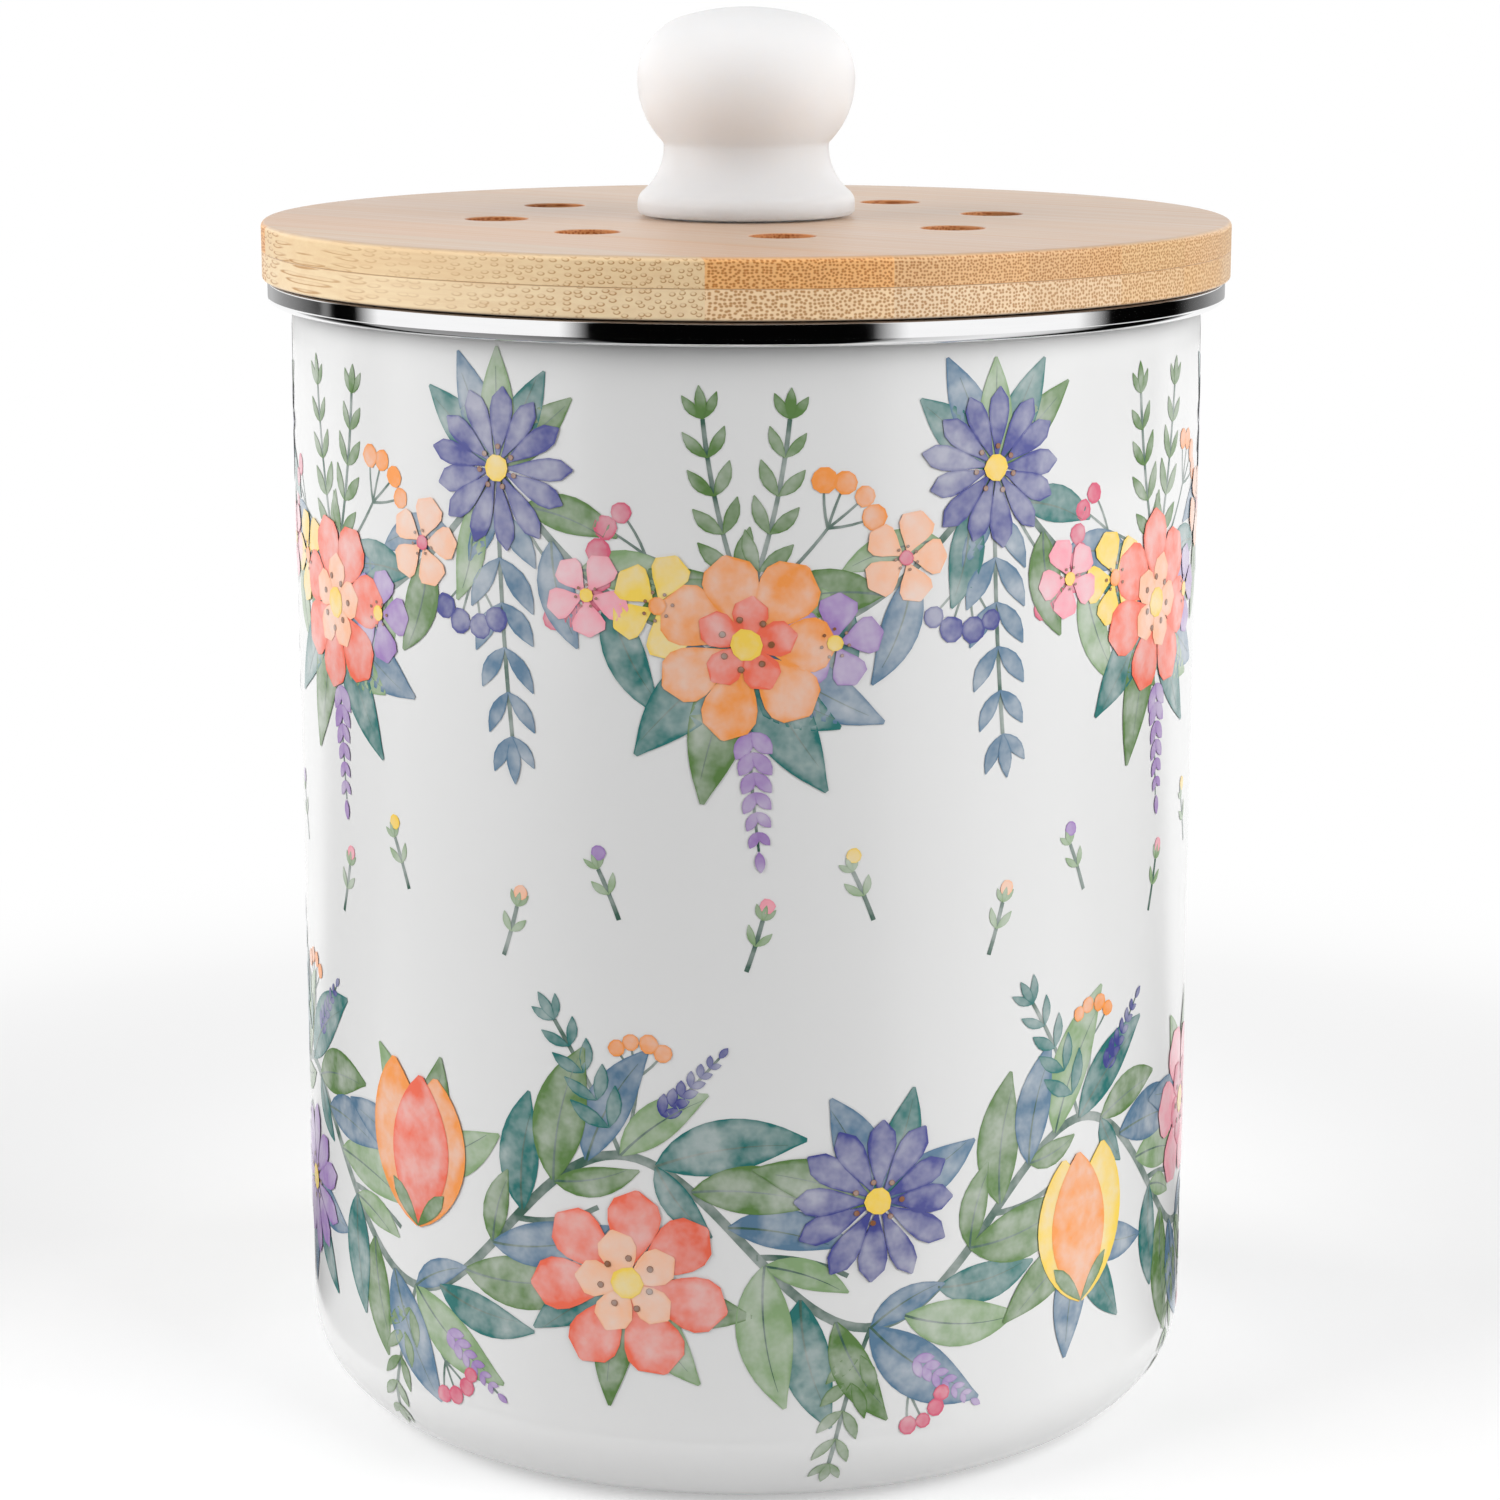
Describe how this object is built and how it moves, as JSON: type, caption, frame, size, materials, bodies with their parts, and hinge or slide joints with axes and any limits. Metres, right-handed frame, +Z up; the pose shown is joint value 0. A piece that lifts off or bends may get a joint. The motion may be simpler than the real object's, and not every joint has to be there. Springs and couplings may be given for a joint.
{
  "type": "compost caddy",
  "caption": "Round countertop compost caddy: enamelled steel can with a bright rim, lift-off vented bamboo lid with a glazed knob, and a charcoal pad on a twist-off tray.",
  "frame": {"origin": "centre of the ring the can stands on, level with the surface under it", "axes": "+Z up along the can's axis; -Y faces the viewer of the picture, +X to their right"},
  "size_m": [0.17, 0.17, 0.2483],
  "materials": {
    "enamel": "gloss enamel",
    "rim_steel": "mirror polish",
    "bamboo_upper": "sealed satin",
    "bamboo_lower": "sealed satin",
    "bamboo_ring": "sealed satin",
    "seal_rubber": "satin silicone",
    "knob_glaze": "gloss glaze",
    "insert_brass": "turned",
    "washer_steel": "plated",
    "screw_steel": "plated",
    "charcoal_felt": "felt",
    "tray_steel": "satin pressed",
    "tray_screw_steel": "plated"
  },
  "bodies": {
    "can": {"canister_body": "enamel", "rim_band": "rim_steel"},
    "lid": {"lid_upper_ply": "bamboo_upper", "lid_lower_ply": "bamboo_lower", "spigot_ring": "bamboo_ring", "lid_seal": "seal_rubber", "knob": "knob_glaze", "knob_insert": "insert_brass", "knob_washer": "washer_steel", "knob_screw": "screw_steel", "tray_screws": "tray_screw_steel"},
    "tray": {"filter_tray": "tray_steel", "charcoal_filter": "charcoal_felt"}
  },
  "joints": [
    {"name": "lid_lift", "type": "slide", "parent": "can", "child": "lid", "axis": [0, 0, 1], "range_m": [0, 0.15]},
    {"name": "filter_tray_twist", "type": "hinge", "parent": "lid", "child": "tray", "pos_m": [0, 0, 0.19], "axis": [0, 0, 1], "range_deg": [0, 18]}
  ]
}
